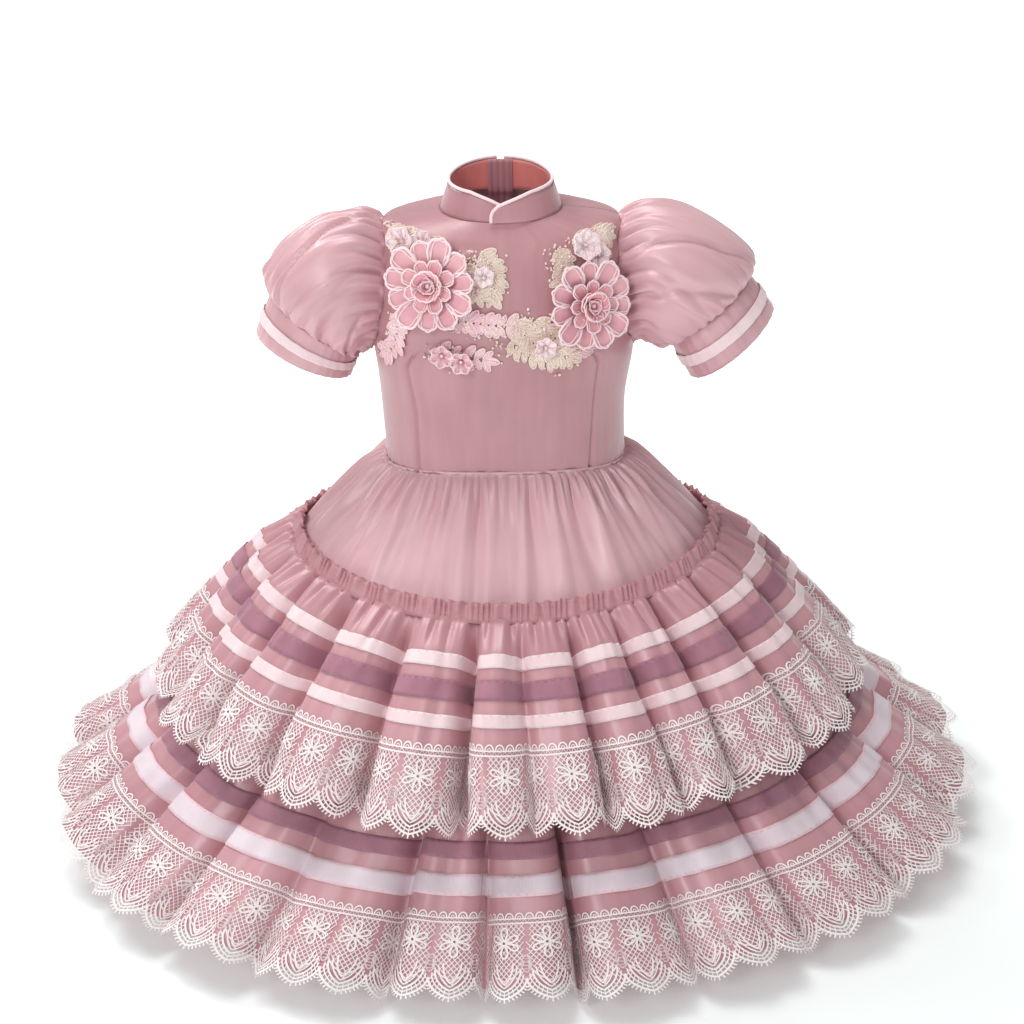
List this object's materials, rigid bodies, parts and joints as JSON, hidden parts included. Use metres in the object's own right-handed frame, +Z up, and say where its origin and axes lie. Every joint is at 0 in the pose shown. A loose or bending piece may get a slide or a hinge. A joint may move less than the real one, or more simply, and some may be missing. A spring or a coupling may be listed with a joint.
{
  "type": "escaramuza dress",
  "caption": "Girl's full-skirted satin dress with stand collar, puff sleeves, ribbon bands, lace-edged flounces and raised chest flowers, filled out as if worn.",
  "frame": {"origin": "midway between the shoulder seams at the base of the neck, where the wearer's shoulders carry the dress", "axes": "+X to the wearer's left, -Y to the front, +Z up"},
  "size_m": [0.8407, 0.6397, 0.5745],
  "materials": {
    "rose_satin": "satin, soft sheen",
    "pale_ribbon": "grosgrain and satin ribbon",
    "mauve_ribbon": "grosgrain ribbon",
    "white_ribbon": "wide satin ribbon",
    "white_lace": "chemical lace, raised cords",
    "pink_petals": "organza petals with corded edges",
    "gold_lace": "embroidered thread",
    "zip_cloth": "woven tape and coil",
    "zip_metal": "plated metal"
  },
  "bodies": {
    "dress": {"bodice_front": "rose_satin", "bodice_back_left": "rose_satin", "bodice_back_right": "rose_satin", "collar_left": "rose_satin", "collar_right": "rose_satin", "collar_piping_left": "pale_ribbon", "collar_piping_right": "pale_ribbon", "sleeve_left": "rose_satin", "sleeve_right": "rose_satin", "cuff_left": "rose_satin", "cuff_right": "rose_satin", "cuff_ribbon_left": "pale_ribbon", "cuff_ribbon_right": "pale_ribbon", "yoke_front": "rose_satin", "yoke_back_left": "rose_satin", "yoke_back_right": "rose_satin", "flounce_heading": "rose_satin", "upper_flounce_front": "rose_satin", "upper_flounce_back": "rose_satin", "lower_flounce_front": "rose_satin", "lower_flounce_back": "rose_satin", "upper_lace": "white_lace", "lower_lace": "white_lace", "upper_ribbon_pale_high": "pale_ribbon", "upper_ribbon_mauve": "mauve_ribbon", "upper_ribbon_pale_low": "pale_ribbon", "lower_ribbon_mauve": "mauve_ribbon", "lower_ribbon_white": "white_ribbon", "flower_right_petals": "pink_petals", "flower_right_heart": "pink_petals", "flower_left_petals": "pink_petals", "flower_left_heart": "pink_petals", "spray_right_shoulder": "gold_lace", "spray_left_shoulder": "gold_lace", "spray_right": "gold_lace", "spray_left": "gold_lace", "spray_centre": "gold_lace", "zip_tape": "zip_cloth", "zip_teeth": "zip_cloth", "zip_slider": "zip_metal"},
    "pull_tab": {"zip_pull": "zip_metal"}
  },
  "joints": [
    {"name": "pull_tab_swing", "type": "hinge", "parent": "dress", "child": "pull_tab", "pos_m": [0, 0.04567, 0.031], "axis": [1, 0, 0], "range_deg": [0, 150]}
  ]
}
